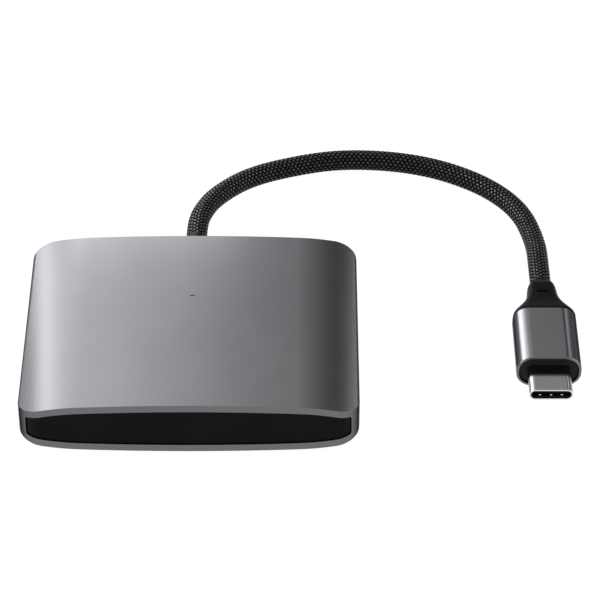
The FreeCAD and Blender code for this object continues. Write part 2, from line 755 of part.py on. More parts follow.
def plug_boot():
    """A soft boot that flares from the cable to the plug's sleeve, with a spigot inside the sleeve."""
    tip = dim.cord_diameter + dim.boot_lip * 2
    flare_width = dim.sleeve_width * FLARE + dim.boot_waist_width * (1 - FLARE)
    flare_height = dim.sleeve_height * FLARE + dim.boot_waist_height * (1 - FLARE)
    stations = [
        (boot_tip, tip, tip),
        (boot_tip - dim.boot_neck, tip, tip),
        (boot_tip - dim.boot_collar_along, dim.boot_collar_width, dim.boot_collar_height),
        (boot_tip - dim.boot_waist_along, dim.boot_waist_width, dim.boot_waist_height),
        (boot_tip - dim.boot_flare_along, flare_width, flare_height),
        (sleeve_rear + EASE, dim.sleeve_width - 2 * EASE, dim.sleeve_height - 2 * EASE),
    ]
    sections = []
    for index, (station, width, height) in enumerate(stations):
        radius = height * BOOT_ROUND
        outline = rounded_outline("boot_outline_%d" % index, width, height, radius)
        place(outline, (dim.plug_across, station, plug_height), FACING_REAR)
        sections.append(outline)
    flare = doc.addObject("Part::Loft", "boot_flare")
    flare.Sections = sections
    flare.Solid = True
    flare.Ruled = True
    hollow_width = dim.sleeve_width - dim.sleeve_wall * 2
    hollow_height = dim.sleeve_height - dim.sleeve_wall * 2
    spigot = plug_bar("boot_plug", sleeve_rear - dim.boot_spigot, dim.boot_spigot + 2 * EASE,
                      hollow_width - 2 * EASE, hollow_height - 2 * EASE,
                      dim.sleeve_radius - dim.sleeve_wall - EASE)
    node(fuse("boot", [flare, spigot]), "plug_boot")


# ---------------------------------------------------------------- build, check and write

def build():
    tube_housing()
    front_panel()
    rear_panel()
    feet()
    main_board()
    components()
    light_pipe()
    sockets()
    cable_end()
    cable()
    plug_casing()
    plug_inside()
    plug_boot()
    doc.recompute()


def check_and_write():
    for item in doc.Objects:
        if "Invalid" in item.State or "Error" in item.State:
            raise RuntimeError("%s (%s) did not compute" % (item.Name, item.Label))
    os.makedirs("parts", exist_ok=True)
    for item in nodes:
        shape = item.Shape
        if shape.isNull() or not shape.isValid() or not shape.Solids:
            raise RuntimeError("%s has no valid solid" % item.Label)
    for item in nodes:
        item.Shape.exportStep(os.path.join("parts", item.Label + ".step"))
        box = item.Shape.BoundBox
        print("%-18s %2d solids %9.2f mm3  x %.2f %.2f  y %.2f %.2f  z %.2f %.2f"
              % (item.Label, len(item.Shape.Solids), item.Shape.Volume, box.XMin, box.XMax,
                 box.YMin, box.YMax, box.ZMin, box.ZMax))
    print("%d nodes" % len(nodes))


build()
check_and_write()
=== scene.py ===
"""A small aluminium data hub with four sockets, a braided cable and its plug.

Everything is in metres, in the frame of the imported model: X runs across the hub, Y towards the
cable and Z up from the surface that the hub stands on.
"""
import math

import bmesh
import bpy
import numpy
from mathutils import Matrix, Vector


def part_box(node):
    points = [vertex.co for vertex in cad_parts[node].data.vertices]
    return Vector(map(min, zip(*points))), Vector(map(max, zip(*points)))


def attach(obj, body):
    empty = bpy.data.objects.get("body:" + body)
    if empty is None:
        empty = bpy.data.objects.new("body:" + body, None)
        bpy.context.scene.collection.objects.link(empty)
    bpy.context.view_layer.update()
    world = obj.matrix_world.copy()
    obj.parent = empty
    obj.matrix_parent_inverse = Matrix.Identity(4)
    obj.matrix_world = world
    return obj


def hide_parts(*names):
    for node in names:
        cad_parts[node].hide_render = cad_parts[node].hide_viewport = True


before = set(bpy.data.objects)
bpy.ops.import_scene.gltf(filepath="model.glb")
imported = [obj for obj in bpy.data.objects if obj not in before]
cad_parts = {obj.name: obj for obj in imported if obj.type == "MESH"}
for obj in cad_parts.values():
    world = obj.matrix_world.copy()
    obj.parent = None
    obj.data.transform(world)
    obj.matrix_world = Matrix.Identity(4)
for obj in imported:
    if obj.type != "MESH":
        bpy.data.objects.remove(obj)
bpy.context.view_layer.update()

MM = 0.001

# ---------------------------------------------------------------- sizes

hub_low, hub_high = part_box("tube_housing")
HALF_WIDTH = hub_high.x
HALF_DEPTH = hub_high.y
HALF_HEIGHT = (hub_high.z - hub_low.z) / 2
MIDDLE = (hub_high.z + hub_low.z) / 2
CROWN_RADIUS = 467 * MM         # the broad top and bottom of the sleeve
CROWN_HALF = 20.3 * MM
SHOULDER_RADIUS = 47.7 * MM     # the steeper flanks beside them
EDGE_RADIUS = 0.75 * MM
BORE_EDGE_RADIUS = 0.6 * MM
CORNER_RADIUS = 4.36 * MM       # the sleeve's corners, seen from above
WALL = 1.54 * MM
OUTER_RIM = 0.26 * MM           # how far the sleeve's rims are rounded, outside and in the bore
INNER_RIM = 0.16 * MM
RAIL_DEPTH = 1.2 * MM           # the rails that hold the circuit board
RAIL_HEIGHT = 0.75 * MM
RAIL_GAP = 0.05 * MM
PANEL_GAP = 0.05 * MM           # between panel and sleeve
PANEL_RECESS = 0.25 * MM        # from the sleeve's rim back to the panel
PANEL_RIM = 0.14 * MM
PANEL_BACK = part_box("rear_panel")[0].y
WINDOW_GAP = 0.2 * MM
GLAND_HOLE = 2.8 * MM
PORT_WIDTH = 8.94 * MM          # the sockets
PORT_HEIGHT = 3.2 * MM
PORT_WALL = 0.3 * MM
TONGUE_WIDTH = 6.69 * MM
TONGUE_HEIGHT = 0.7 * MM
EASE = 0.05 * MM                # left free between parts that fit together
PIN_RADIUS = 0.19 * MM          # the two small holes over the status light
PIN_PITCH = 0.52 * MM
PIN_PLACE = 6.8 * MM
PLUG_X = (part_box("plug_sleeve")[0].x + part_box("plug_sleeve")[1].x) / 2
PLUG_Z = (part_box("plug_sleeve")[0].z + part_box("plug_sleeve")[1].z) / 2
SLEEVE_WIDTH = 12.4 * MM
SLEEVE_HEIGHT = 7.1 * MM
SLEEVE_RADIUS = 3.15 * MM
SLEEVE_WALL = 0.5 * MM
SHELL_WIDTH = 8.25 * MM
SHELL_HEIGHT = 2.4 * MM
SHELL_WALL = 0.28 * MM
SHARP = 0.8                     # radians between two faces that meet in a real edge

# ---------------------------------------------------------------- camera

camera_data = bpy.data.cameras.new("camera")
camera_data.sensor_width = 36
camera_data.lens = 179.26
camera = bpy.data.objects.new("camera", camera_data)
camera.location = (20.65 * MM, -438.55 * MM, 374.33 * MM)
camera.rotation_euler = (math.radians(50.75), 0, 0)
bpy.context.scene.collection.objects.link(camera)
bpy.context.scene.camera = camera

# ---------------------------------------------------------------- shader nodes


def put(tree, kind, values=None, **settings):
    """Adds a node. Its sockets take numbers, colours or other nodes' outputs."""
    item = tree.nodes.new(kind)
    for key, value in settings.items():
        setattr(item, key, value)
    for key, value in (values or {}).items():
        if isinstance(value, bpy.types.NodeSocket):
            tree.links.new(value, item.inputs[key])
        else:
            item.inputs[key].default_value = value
    return item


def sums(tree, operation, first, second=0.0, third=0.0):
    """A Math node's result."""
    item = put(tree, "ShaderNodeMath", {0: first, 1: second, 2: third}, operation=operation)
    return item.outputs[0]


def spread(tree, value, low, high, start, end):
    """The value's stretch from low to high, turned into one from start to end."""
    item = put(tree, "ShaderNodeMapRange", {"Value": value, "From Min": low, "From Max": high,
                                            "To Min": start, "To Max": end})
    item.interpolation_type = "SMOOTHSTEP"
    return item.outputs["Result"]


def effect(name, takes, gives):
    """An empty node group with named inputs and outputs."""
    tree = bpy.data.node_groups.new(name, "ShaderNodeTree")
    for label, kind, value in takes:
        socket = tree.interface.new_socket(label, in_out="INPUT", socket_type="NodeSocket" + kind)
        if value is not None:
            socket.default_value = value
    for label, kind in gives:
        tree.interface.new_socket(label, in_out="OUTPUT", socket_type="NodeSocket" + kind)
    return tree, tree.nodes.new("NodeGroupInput").outputs, tree.nodes.new("NodeGroupOutput").inputs


def make_fine_grain():
    """Blasted or moulded grain: a height, and the same grain as a shade around one."""
    tree, take, give = effect("fine_grain", [("Place", "Vector", None), ("Scale", "Float", 2500.0),
                                             ("Contrast", "Float", 0.1)],
                              [("Height", "Float"), ("Shade", "Float")])
    fine = put(tree, "ShaderNodeTexNoise", {"Vector": take["Place"], "Scale": take["Scale"],
                                            "Detail": 3.0, "Roughness": 0.65}).outputs["Fac"]
    centred = sums(tree, "SUBTRACT", fine, 0.5)
    tree.links.new(fine, give["Height"])
    tree.links.new(sums(tree, "MULTIPLY_ADD", centred, take["Contrast"], 1.0), give["Shade"])
    return tree


def make_cloudy_tone():
    """A slow drift between two colours, times a shade."""
    tree, take, give = effect("cloudy_tone", [("Place", "Vector", None), ("Scale", "Float", 60.0),
                                              ("Shade", "Float", 1.0),
                                              ("Deep", "Color", (0.1, 0.1, 0.1, 1)),
                                              ("Pale", "Color", (0.2, 0.2, 0.2, 1))],
                              [("Color", "Color")])
    cloud = put(tree, "ShaderNodeTexNoise", {"Vector": take["Place"], "Scale": take["Scale"],
                                             "Detail": 4.0, "Roughness": 0.55}).outputs["Fac"]
    mixed = put(tree, "ShaderNodeMix", {"Factor": spread(tree, cloud, 0.3, 0.7, 0.0, 1.0),
                                        6: take["Deep"], 7: take["Pale"]}, data_type="RGBA")
    shaded = put(tree, "ShaderNodeVectorMath", {0: mixed.outputs[2], "Scale": take["Shade"]},
                 operation="SCALE")
    tree.links.new(shaded.outputs[0], give["Color"])
    return tree


def make_handled():
    """Roughness that varies where fingers and dust have been."""
    tree, take, give = effect("handled", [("Place", "Vector", None), ("Roughness", "Float", 0.4),
                                          ("Swing", "Float", 0.06), ("Scale", "Float", 120.0)],
                              [("Roughness", "Float")])
    smear = put(tree, "ShaderNodeTexNoise", {"Vector": take["Place"], "Scale": take["Scale"],
                                             "Detail": 5.0, "Roughness": 0.7, "Distortion": 0.6})
    swing = sums(tree, "MULTIPLY", sums(tree, "SUBTRACT", smear.outputs["Fac"], 0.5), take["Swing"])
    tree.links.new(sums(tree, "MULTIPLY_ADD", swing, 2.0, take["Roughness"]), give["Roughness"])
    return tree


def make_drawn_lines():
    """Fine lines left by rolling or drawing, along the axis that Stretch makes long."""
    tree, take, give = effect("drawn_lines", [("Place", "Vector", None),
                                              ("Stretch", "Vector", (1.0, 1.0, 1.0)),
                                              ("Scale", "Float", 2000.0)],
                              [("Height", "Float")])
    pulled = put(tree, "ShaderNodeVectorMath", {0: take["Place"], 1: take["Stretch"]},
                 operation="MULTIPLY").outputs[0]
    lines = put(tree, "ShaderNodeTexNoise", {"Vector": pulled, "Scale": take["Scale"], "Detail": 2.0})
    tree.links.new(lines.outputs["Fac"], give["Height"])
    return tree


FINE_GRAIN = make_fine_grain()
CLOUDY_TONE = make_cloudy_tone()
HANDLED = make_handled()
DRAWN_LINES = make_drawn_lines()


def use(tree, group, values):
    """The outputs of an effect placed in a material with its own values."""
    return put(tree, "ShaderNodeGroup", values, node_tree=group).outputs


def new_material(name, constants):
    """A material with its shader; constants are the shader's own plain values."""
    material = bpy.data.materials.new(name)
    material.use_nodes = True
    tree = material.node_tree
    shader = tree.nodes["Principled BSDF"]
    for key, value in constants.items():
        shader.inputs[key].default_value = value
    return material, tree, shader


LINE_SHARE = 0.7       # of drawn lines in a drawn metal's relief, the rest being grain


def surface(name, deep, pale, roughness, grain_scale, grain_depth, contrast=0.1, swing=0.05,
            cloud_scale=60.0, lines=None, **constants):
    """A finish with drifting tone, grain, handled roughness and a little relief."""
    material, tree, shader = new_material(name, {key.replace("_", " "): value
                                                 for key, value in constants.items()})
    place = put(tree, "ShaderNodeTexCoord").outputs["Object"]
    grain = use(tree, FINE_GRAIN, {"Place": place, "Scale": grain_scale, "Contrast": contrast})
    tone = use(tree, CLOUDY_TONE, {"Place": place, "Scale": cloud_scale, "Shade": grain["Shade"],
                                   "Deep": (*deep, 1), "Pale": (*pale, 1)})
    rough = use(tree, HANDLED, {"Place": place, "Roughness": roughness, "Swing": swing})
    height = grain["Height"]
    if lines:
        drawn = use(tree, DRAWN_LINES, {"Place": place, "Stretch": lines})["Height"]
        height = sums(tree, "MULTIPLY_ADD", drawn, LINE_SHARE,
                      sums(tree, "MULTIPLY", height, 1 - LINE_SHARE))
    bump = put(tree, "ShaderNodeBump", {"Strength": 1.0, "Distance": grain_depth, "Height": height})
    tree.links.new(tone["Color"], shader.inputs["Base Color"])
    tree.links.new(rough["Roughness"], shader.inputs["Roughness"])
    tree.links.new(bump.outputs["Normal"], shader.inputs["Normal"])
    return material


ALUMINIUM = surface("anodised_aluminium", (0.141, 0.140, 0.149), (0.149, 0.148, 0.157), 0.22,
                    3200.0, 0.0010 * MM, contrast=0.10, swing=0.02, Metallic=1.0,
                    Specular_Tint=(0.2, 0.2, 0.2, 1.0))
PANEL_BLACK = surface("satin_black_plastic", (0.0022, 0.0022, 0.0025), (0.0032, 0.0031, 0.0035),
                      0.36, 2600.0, 0.003 * MM, Specular_IOR_Level=0.045)
BOOT_BLACK = surface("boot_rubber", (0.0016, 0.0016, 0.0018), (0.0026, 0.0025, 0.0028), 0.36,
                     2200.0, 0.004 * MM, Specular_IOR_Level=0.03)
FOOT_RUBBER = surface("black_rubber", (0.012, 0.012, 0.012), (0.020, 0.020, 0.020), 0.75,
                      1800.0, 0.01 * MM, contrast=0.3)
STEEL = surface("polished_steel", (0.215, 0.215, 0.218), (0.245, 0.245, 0.248), 0.16, 900.0,
                0.0006 * MM, swing=0.04, lines=(1.0, 0.04, 1.0), Metallic=1.0)
# the plug face's black, paler than the hub's panel: partly its own colour and partly painted light
# that lifts the face where it sits in shade inside the sleeve
PLUG_BLACK_AND_PAINTED_LIGHT = surface("satin_black_plug_and_painted_light", (0.014, 0.014, 0.0145), (0.017, 0.0168, 0.0174), 0.38,
                     2600.0, 0.003 * MM, Specular_IOR_Level=0.05)
# pale steel: the spring pads' own colour, and a painted highlight on the plug shell's rim
PALE_STEEL_AND_RIM_HIGHLIGHT = surface("pale_steel_and_painted_rim_highlight", (0.62, 0.62, 0.62), (0.70, 0.70, 0.70), 0.20, 900.0,
                       0.0006 * MM, swing=0.04, Metallic=1.0)
CONTACT_PLASTIC = surface("contact_plastic", (0.0016, 0.0016, 0.0017), (0.0024, 0.0024, 0.0026),
                          0.45, 2600.0, 0.003 * MM, Specular_IOR_Level=0.04)
GOLD = surface("gold_contacts", (0.86, 0.60, 0.24), (0.94, 0.70, 0.34), 0.22, 1500.0, 0.0008 * MM,
               Metallic=1.0)
BOARD = surface("circuit_board", (0.004, 0.016, 0.012), (0.010, 0.040, 0.026), 0.38, 700.0,
                0.006 * MM, contrast=0.5, cloud_scale=900.0)
CHIP = surface("chip_plastic", (0.014, 0.014, 0.015), (0.024, 0.024, 0.025), 0.55, 2600.0,
               0.005 * MM, contrast=0.4)
TIN = surface("component_metal", (0.55, 0.54, 0.52), (0.68, 0.67, 0.65), 0.30, 1200.0, 0.002 * MM,
              Metallic=1.0)
FERRITE = surface("ferrite", (0.030, 0.029, 0.028), (0.055, 0.053, 0.050), 0.62, 1600.0, 0.01 * MM,
                  contrast=0.5)
CERAMIC = surface("ceramic", (0.34, 0.25, 0.17), (0.48, 0.37, 0.26), 0.42, 1400.0, 0.004 * MM,
                  contrast=0.2)
CLEAR = surface("clear_plastic", (0.80, 0.84, 0.86), (0.90, 0.92, 0.94), 0.12, 900.0, 0.001 * MM,
                contrast=0.04, Transmission_Weight=0.8, IOR=1.49)
LEAD = surface("lead_insulation", (0.05, 0.05, 0.05), (0.30, 0.05, 0.04), 0.5, 1200.0, 0.004 * MM,
               cloud_scale=700.0)
CORE = surface("cable_core", (0.003, 0.003, 0.003), (0.006, 0.006, 0.006), 0.8, 1600.0, 0.01 * MM,
               Specular_IOR_Level=0.02)


THREADS = 3            # in a ribbon
THREAD_TURNS = 22.0    # of a thread's own twist, along the ribbon and across it
THREAD_SLANT = 18.0
YARN_BLACK = 0.0032
HIGHLIGHT_METALLIC = 0.9    # of the painted highlight on the top of a ribbon's wave


def make_braid_material(name, highlight_level):
    """Black yarn with a painted highlight where a ribbon rises over the others: a paler, metallic
    colour there that the lamps light.
    """
    material, tree, shader = new_material(name, {"Specular IOR Level": 0.015})
    spot = put(tree, "ShaderNodeSeparateXYZ", {"Vector": put(tree, "ShaderNodeUVMap").outputs["UV"]})
    across, along = spot.outputs["X"], spot.outputs["Y"]
    inside = sums(tree, "FRACT", across)
    threads = sums(tree, "ABSOLUTE",
                   sums(tree, "SINE", sums(tree, "MULTIPLY", inside, THREADS * math.pi)))
    twist = sums(tree, "SINE", sums(tree, "MULTIPLY_ADD", along, THREAD_TURNS,
                                    sums(tree, "MULTIPLY", inside, THREAD_SLANT)))
    relief = sums(tree, "MULTIPLY_ADD", twist, 0.15, threads)
    bump = put(tree, "ShaderNodeBump", {"Strength": 0.8, "Distance": 0.02 * MM, "Height": relief})
    rise = sums(tree, "COSINE", sums(tree, "MULTIPLY", along, math.pi))
    from_middle = sums(tree, "ABSOLUTE", sums(tree, "SUBTRACT", inside, 0.5))
    from_edge = sums(tree, "SUBTRACT", 0.5, from_middle)
    chance = put(tree, "ShaderNodeTexWhiteNoise", {"W": sums(tree, "FLOOR", across)},
                 noise_dimensions="1D")
    place = put(tree, "ShaderNodeTexCoord").outputs["Object"]
    fibres = put(tree, "ShaderNodeTexNoise", {"Vector": place, "Scale": 2400.0,
                                              "Detail": 3.0}).outputs["Fac"]
    # painted highlight: where a ribbon rises, its colour turns paler and metallic
    crest = sums(tree, "MULTIPLY", spread(tree, rise, 0.60, 0.97, 0.0, 1.0),
                 spread(tree, from_edge, 0.10, 0.32, 0.0, 1.0))
    uneven = sums(tree, "MULTIPLY_ADD", chance.outputs["Value"], 0.35,
                  spread(tree, fibres, 0.30, 0.70, 0.25, 0.85))
    painted_highlight = sums(tree, "MULTIPLY", crest, uneven)
    colour = put(tree, "ShaderNodeValToRGB", {"Fac": painted_highlight})
    colour.color_ramp.elements[0].color = (YARN_BLACK, YARN_BLACK, YARN_BLACK + 0.0005, 1)
    colour.color_ramp.elements[1].color = (highlight_level, highlight_level, highlight_level, 1)
    tree.links.new(colour.outputs["Color"], shader.inputs["Base Color"])
    tree.links.new(sums(tree, "MULTIPLY", painted_highlight, HIGHLIGHT_METALLIC), shader.inputs["Metallic"])
    tree.links.new(spread(tree, fibres, 0.3, 0.7, 0.22, 0.34), shader.inputs["Roughness"])
    tree.links.new(bump.outputs["Normal"], shader.inputs["Normal"])
    return material


# how pale each way's painted highlight is
RIGHT_YARN = make_braid_material("braided_sleeving", 0.085)
LEFT_YARN = make_braid_material("braided_sleeving_back", 0.07)

# ---------------------------------------------------------------- modelling helpers


def leave_edit():
    """Goes back to object mode."""
    if bpy.context.object and bpy.context.object.mode != "OBJECT":
        bpy.ops.object.mode_set(mode="OBJECT")


def only(piece):
    """Leaves edit mode with nothing but this piece selected."""
    leave_edit()
    bpy.ops.object.select_all(action="DESELECT")
    piece.select_set(True)
    bpy.context.view_layer.objects.active = piece


def begin(name):
    """A new empty mesh, open for editing."""
    leave_edit()
    bpy.ops.object.select_all(action="DESELECT")
    bpy.ops.object.add(type="MESH", location=(0, 0, 0))
    piece = bpy.context.object
    piece.name = piece.data.name = name
    bpy.ops.object.mode_set(mode="EDIT")
    bpy.ops.mesh.select_mode(type="VERT")
    return piece


def edit(piece, kind="FACE"):
    """Opens a finished piece for editing."""
    only(piece)
    bpy.ops.object.mode_set(mode="EDIT")
    bpy.ops.mesh.select_mode(type=kind)


def pick(piece, kind, chosen):
    """Selects the vertices, edges or faces that chosen says yes to."""
    bpy.ops.mesh.select_mode(type=kind)
    bpy.ops.mesh.select_all(action="DESELECT")
    shape = bmesh.from_edit_mesh(piece.data)
    shape.normal_update()
    for item in {"VERT": shape.verts, "EDGE": shape.edges, "FACE": shape.faces}[kind]:
        if chosen(item):
            item.select_set(True)
    bmesh.update_edit_mesh(piece.data)


def centre(item):
    """The middle of an edge or a face."""
    if len(item.verts) == 2:
        return (item.verts[0].co + item.verts[1].co) / 2
    return item.calc_center_median()


def at(value, target):
    """Whether a measure is the target's, as near as a mesh keeps it."""
    return abs(value - target) < 0.004 * MM


def push(x=0.0, y=0.0, z=0.0):
    """Extrudes what is selected."""
    bpy.ops.mesh.extrude_region_move(TRANSFORM_OT_translate={"value": (x, y, z)})


def stretch(x, y, z, about):
    """Scales what is selected about a point."""
    bpy.ops.transform.resize(value=(x, y, z), center_override=about)


SAME_PLACE = 0.000001      # corners nearer than this are one


def outward():
    """Closes seams and turns every face outwards."""
    bpy.ops.mesh.select_all(action="SELECT")
    bpy.ops.mesh.remove_doubles(threshold=SAME_PLACE)
    bpy.ops.mesh.normals_make_consistent(inside=False)


def soften(piece, chosen, width, segments=3):
    """Bevels the edges that chosen says yes to."""
    edit(piece, "EDGE")
    pick(piece, "EDGE", chosen)
    bpy.ops.mesh.bevel(offset=width, segments=segments, profile=0.5, affect="EDGES",
                       clamp_overlap=True)


def carve(piece, tool, operation="DIFFERENCE"):
    """Cuts the tool from the piece, joins them or keeps what they share, and removes the tool."""
    only(piece)
    modifier = piece.modifiers.new("carve", "BOOLEAN")
    modifier.operation = operation
    modifier.solver = "EXACT"
    modifier.object = tool
    bpy.ops.object.modifier_apply(modifier=modifier.name)
    bpy.data.objects.remove(tool)


def finish_piece(piece, material, nodes, smooth=32.0, weighted=True):
    """Shades the piece, gives it its material and lets it stand for its CAD nodes."""
    only(piece)
    bpy.ops.object.shade_smooth_by_angle(angle=math.radians(smooth))
    if weighted:
        modifier = piece.modifiers.new("even_normals", "WEIGHTED_NORMAL")
        modifier.keep_sharp = True
        modifier.weight = 60
        bpy.ops.object.modifier_apply(modifier=modifier.name)
    piece.data.materials.clear()
    piece.data.materials.append(material)
    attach(piece, "root")
    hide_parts(*nodes)
    return piece


def twin(piece, name, shift, nodes):
    """A copy with its own mesh, moved to its place."""
    copy = piece.copy()
    copy.data = piece.data.copy()
    copy.name = copy.data.name = name
    bpy.context.scene.collection.objects.link(copy)
    only(copy)
    bpy.ops.object.mode_set(mode="EDIT")
    bpy.ops.mesh.select_all(action="SELECT")
    bpy.ops.transform.translate(value=shift)
    leave_edit()
    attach(copy, "root")
    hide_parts(*nodes)


def round_slab(name, middle, width, height, radius, start, end, corner_steps=10):
    """A bar along Y from start to end, its section a rectangle with round corners."""
    x, z = middle
    piece = begin(name)
    bpy.ops.mesh.primitive_plane_add(size=1, location=(x, start, z), rotation=(math.pi / 2, 0, 0))
    stretch(width, 1, height, (x, start, z))
    bpy.ops.mesh.bevel(offset=radius, segments=corner_steps, affect="VERTICES")
    push(y=end - start)
    outward()
    return piece


def drum(name, spot, radius, length, axis="Z", steps=64):
    """A cylinder from spot along Y or Z."""
    piece = begin(name)
    turn = (0, 0, 0) if axis == "Z" else (-math.pi / 2, 0, 0)
    shift = Vector((0, 0, length / 2)) if axis == "Z" else Vector((0, length / 2, 0))
    bpy.ops.mesh.primitive_cylinder_add(vertices=steps, radius=radius, depth=length,
                                        location=Vector(spot) + shift, rotation=turn)
    outward()
    return piece


def hollow_end(piece, face_y, wall, depth):
    """Sinks the flat end at face_y by depth, leaving a wall."""
    edit(piece)
    pick(piece, "FACE", lambda face: at(centre(face).y, face_y) and abs(face.normal.y) > 0.9)
    bpy.ops.mesh.inset(thickness=wall)
    push(y=depth)


# ---------------------------------------------------------------- the hub's section


def lens_bar(name, inset, edge, start, end):
    """A bar along Y with the sleeve's section, drawn in by inset."""
    half_width, half_height = HALF_WIDTH - inset, HALF_HEIGHT - inset
    crown, shoulder = CROWN_RADIUS - inset, SHOULDER_RADIUS - inset
    tilt = math.asin(CROWN_HALF / crown)
    shoulder_x = (crown - shoulder) * math.sin(tilt)
    shoulder_z = half_height - crown + (crown - shoulder) * math.cos(tilt)
    edge_x = half_width - edge
    lean = math.asin((edge_x - shoulder_x) / (shoulder - edge))
    edge_z = shoulder_z + (shoulder - edge) * math.cos(lean)
    piece = begin(name)
    bpy.ops.mesh.primitive_plane_add(size=MM, location=(0, start, MIDDLE + half_height))
    bpy.ops.mesh.merge(type="CENTER")
    upper = [(0, half_height - crown, tilt, 14), (shoulder_x, shoulder_z, lean - tilt, 16),
             (edge_x, edge_z, math.pi / 2 - lean, 8)]
    for x, z, angle, steps in upper:
        bpy.ops.mesh.spin(steps=steps, angle=angle, center=(-x, start, MIDDLE + z), axis=(0, 1, 0))
    push(z=-2 * edge_z)
    for x, z, angle, steps in reversed(upper):
        bpy.ops.mesh.spin(steps=steps, angle=angle, center=(-x, start, MIDDLE - z), axis=(0, 1, 0))
    bpy.ops.mesh.select_all(action="SELECT")
    bpy.ops.mesh.duplicate()
    stretch(-1, 1, 1, (0, start, MIDDLE))
    bpy.ops.mesh.select_all(action="SELECT")
    bpy.ops.mesh.remove_doubles(threshold=SAME_PLACE)
    bpy.ops.mesh.select_mode(type="EDGE")
    bpy.ops.mesh.select_all(action="SELECT")
    bpy.ops.mesh.edge_face_add()
    push(y=end - start)
    outward()
    return piece


def plan_block(name, inset):
    """An upright block with the sleeve's outline from above, drawn in by inset."""
    piece = begin(name)
    low = -2 * HALF_HEIGHT
    bpy.ops.mesh.primitive_plane_add(size=1, location=(0, 0, low))
    stretch(2 * (HALF_WIDTH - inset), 2 * (HALF_DEPTH - inset), 1, (0, 0, low))
    bpy.ops.mesh.bevel(offset=CORNER_RADIUS - inset, segments=20, affect="VERTICES")
    push(z=6 * HALF_HEIGHT)
    outward()
    return piece


def on_outline(point, inset):
    """Whether a point is on the upright wall of the plan outline at the front or rear."""
    radius = CORNER_RADIUS - inset
    past = abs(point.x) - (HALF_WIDTH - inset - radius)
    reach = HALF_DEPTH - inset
    if past > 0:
        reach -= radius - math.sqrt(max(0.0, radius ** 2 - past ** 2))
    return abs(abs(point.y) - reach) < 0.02 * MM


def rim_edge(edge, inset):
    """Whether an edge is where the plan outline's wall meets the section."""
    return (all(on_outline(corner.co, inset) for corner in edge.verts)
            and edge.calc_face_angle(0.0) > math.radians(20))


def inside_edge(edge):
    """Whether an edge lies on the bore, not on the sleeve's outside."""
    spot = centre(edge)
    inner_wall = WALL - 0.1 * MM
    return (abs(spot.x) < HALF_WIDTH - inner_wall
            and abs(spot.z - MIDDLE) < HALF_HEIGHT - inner_wall)


# ---------------------------------------------------------------- casing


def pin_rim(edge):
    """Whether an edge is a light hole's rim on the sleeve's top."""
    spot = centre(edge)
    top = MIDDLE + HALF_HEIGHT
    return (all(abs(corner.co.z - top) < 0.01 * MM for corner in edge.verts)
            and abs(spot.x) < 0.6 * MM and not at(spot.y, PIN_PLACE)
            and abs(spot.y - PIN_PLACE) < 0.25 * MM and edge.calc_face_angle(0.0) > SHARP)


def make_housing():
    """The sleeve with its bore, board rails, foot pockets and light holes."""
    reach = 1.2 * HALF_DEPTH
    housing = lens_bar("housing_sleeve", 0.0, EDGE_RADIUS, -reach, reach)
    carve(housing, plan_block("outline_tool", 0.0), "INTERSECT")
    reach = 1.4 * HALF_DEPTH
    carve(housing, lens_bar("bore_tool", WALL, BORE_EDGE_RADIUS, -reach, reach))
    soften(housing, lambda edge: rim_edge(edge, 0.0) and not inside_edge(edge), OUTER_RIM)
    soften(housing, lambda edge: rim_edge(edge, 0.0) and inside_edge(edge), INNER_RIM)
    leave_edit()
    board_low, board_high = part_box("main_board")
    for side in (-1, 1):
        outer = side * (HALF_WIDTH - WALL / 2)
        inner = side * (HALF_WIDTH - WALL - RAIL_DEPTH)
        for low_z in (board_low.z - RAIL_GAP - RAIL_HEIGHT, board_high.z + RAIL_GAP):
            spot = ((outer + inner) / 2, 0, low_z + RAIL_HEIGHT / 2)
            rail = begin("rail")
            bpy.ops.mesh.primitive_cube_add(size=1, location=spot)
            stretch(abs(outer - inner), 2 * PANEL_BACK, RAIL_HEIGHT, spot)
            outward()
            carve(housing, rail, "UNION")
    for label in ("foot_front_left", "foot_front_right", "foot_rear_left", "foot_rear_right"):
        low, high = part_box(label)
        spot = ((low.x + high.x) / 2, (low.y + high.y) / 2, -MM)
        carve(housing, drum("pocket", spot, (high.x - low.x) / 2 + EASE, high.z + MM))
    for side in (-1, 1):
        spot = (side * PIN_PITCH / 2, PIN_PLACE, MIDDLE)
        carve(housing, drum("pin_tool", spot, PIN_RADIUS, 2 * HALF_HEIGHT, steps=28))
    soften(housing, pin_rim, 0.05 * MM, 2)
    leave_edit()
    return finish_piece(housing, ALUMINIUM, ["tube_housing"])


def make_panel(name, sign, node):
    """The black panel in the front mouth, or the rear one with its windows for the sockets."""
    reach = HALF_DEPTH * 1.2
    start, end = (-reach, -PANEL_BACK) if sign < 0 else (PANEL_BACK, reach)
    panel = lens_bar(name, WALL + PANEL_GAP, BORE_EDGE_RADIUS, start, end)
    carve(panel, plan_block("outline_tool", PANEL_RECESS), "INTERSECT")
    if sign > 0:
        for label in ("port_shell_1", "port_shell_2", "port_shell_3", "port_shell_4"):
            low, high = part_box(label)
            carve(panel, round_slab("window_tool", ((low.x + high.x) / 2, MIDDLE),
                                    PORT_WIDTH + WINDOW_GAP, PORT_HEIGHT + WINDOW_GAP,
                                    PORT_HEIGHT / 2, PANEL_BACK - MM, reach + MM))
        carve(panel, drum("gland_tool", (0, PANEL_BACK - MM, MIDDLE), GLAND_HOLE, 6 * MM, axis="Y"))
    soften(panel, lambda edge: rim_edge(edge, PANEL_RECESS), PANEL_RIM)
    leave_edit()
    finish_piece(panel, PANEL_BLACK, [node])


FOOT_ROUNDING = 0.22 * MM
FOOT_RING = 0.7 * MM       # the foot's flat ring, round a shallow dish
FOOT_DISH = 0.12 * MM


